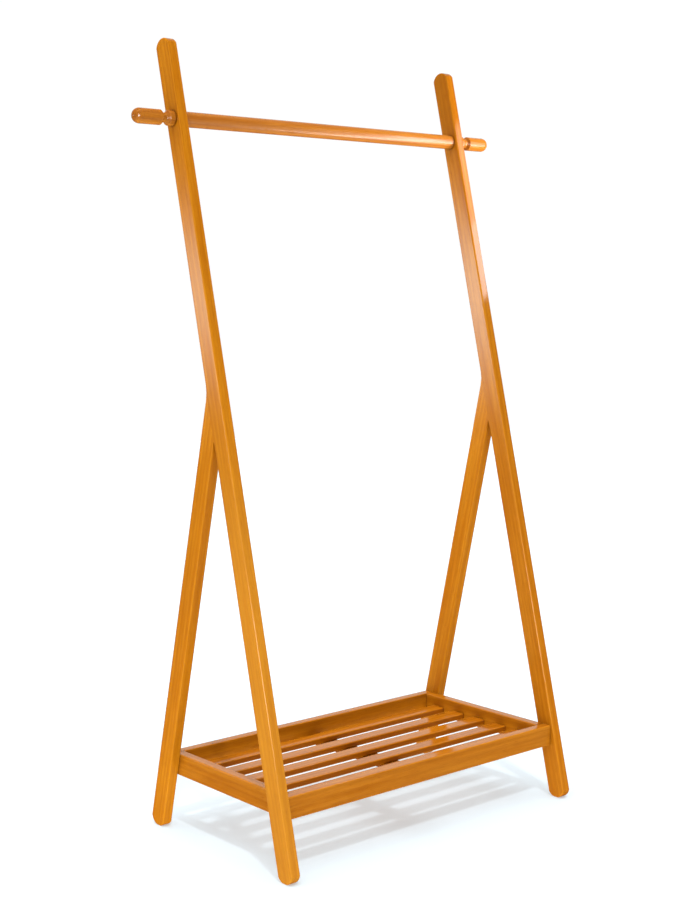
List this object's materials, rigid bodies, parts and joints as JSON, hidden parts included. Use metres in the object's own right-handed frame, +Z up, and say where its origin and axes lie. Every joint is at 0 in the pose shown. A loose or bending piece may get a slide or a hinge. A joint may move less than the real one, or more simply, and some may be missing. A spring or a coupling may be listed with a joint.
{
  "type": "clothes rack",
  "caption": "Free-standing wooden clothes rack: two leaning side frames, a round hanging rail with screw-on pegs at its ends, and a low slatted tray.",
  "frame": {"origin": "On the floor, midway between the four feet and midway along the hanging rail.", "axes": "+X runs along the hanging rail to the right, +Y points to the back, and +Z is up. The posts stand at the front (-Y) and lean back."},
  "size_m": [0.9616, 0.469, 1.6],
  "materials": {
    "frame_wood": "honey-coloured gloss lacquer",
    "tray_wood": "honey-coloured gloss lacquer",
    "rail_wood": "turned and gloss lacquered",
    "dowel_wood": "bare",
    "zinc_steel": "zinc plated",
    "brass": "bare"
  },
  "bodies": {
    "rack": {"left_post": "frame_wood", "right_post": "frame_wood", "left_back_leg": "frame_wood", "right_back_leg": "frame_wood", "hanging_rail": "rail_wood", "left_rail_insert": "brass", "right_rail_insert": "brass", "tray_front_rail": "tray_wood", "tray_back_rail": "tray_wood", "tray_left_rail": "tray_wood", "tray_right_rail": "tray_wood", "slat_1": "tray_wood", "slat_2": "tray_wood", "slat_3": "tray_wood", "slat_4": "tray_wood", "slat_5": "tray_wood", "slat_brace": "tray_wood", "slat_screw_1": "zinc_steel", "slat_screw_2": "zinc_steel", "slat_screw_3": "zinc_steel", "slat_screw_4": "zinc_steel", "slat_screw_5": "zinc_steel", "left_joint_dowel_1": "dowel_wood", "left_joint_dowel_2": "dowel_wood", "right_joint_dowel_1": "dowel_wood", "right_joint_dowel_2": "dowel_wood", "left_front_tray_dowel_1": "dowel_wood", "left_front_tray_dowel_2": "dowel_wood", "left_back_tray_dowel_1": "dowel_wood", "left_back_tray_dowel_2": "dowel_wood", "right_front_tray_dowel_1": "dowel_wood", "right_front_tray_dowel_2": "dowel_wood", "right_back_tray_dowel_1": "dowel_wood", "right_back_tray_dowel_2": "dowel_wood", "left_front_corner_dowel": "dowel_wood", "left_back_corner_dowel": "dowel_wood", "right_front_corner_dowel": "dowel_wood", "right_back_corner_dowel": "dowel_wood"},
    "left_washer_body": {"left_peg_washer": "zinc_steel"},
    "left_peg_body": {"left_peg": "rail_wood", "left_peg_stud": "zinc_steel"},
    "right_washer_body": {"right_peg_washer": "zinc_steel"},
    "right_peg_body": {"right_peg": "rail_wood", "right_peg_stud": "zinc_steel"}
  },
  "joints": [
    {"name": "left_peg_advance", "type": "slide", "parent": "rack", "child": "left_washer_body", "axis": [-1, 0, 0], "range_m": [0, 0.0181]},
    {"name": "left_peg_turn", "type": "hinge", "parent": "left_washer_body", "child": "left_peg_body", "pos_m": [-0.3893, 0.124, 1.4415], "axis": [-1, 0, 0], "range_deg": [0, 5184]},
    {"name": "right_peg_advance", "type": "slide", "parent": "rack", "child": "right_washer_body", "axis": [1, 0, 0], "range_m": [0, 0.0181]},
    {"name": "right_peg_turn", "type": "hinge", "parent": "right_washer_body", "child": "right_peg_body", "pos_m": [0.3893, 0.124, 1.4415], "axis": [1, 0, 0], "range_deg": [0, 5184]}
  ],
  "couplings": [
    {"joint": "left_peg_advance", "follows": "left_peg_turn", "m_per_rad": 0.00019894},
    {"joint": "right_peg_advance", "follows": "right_peg_turn", "m_per_rad": 0.00019894}
  ]
}
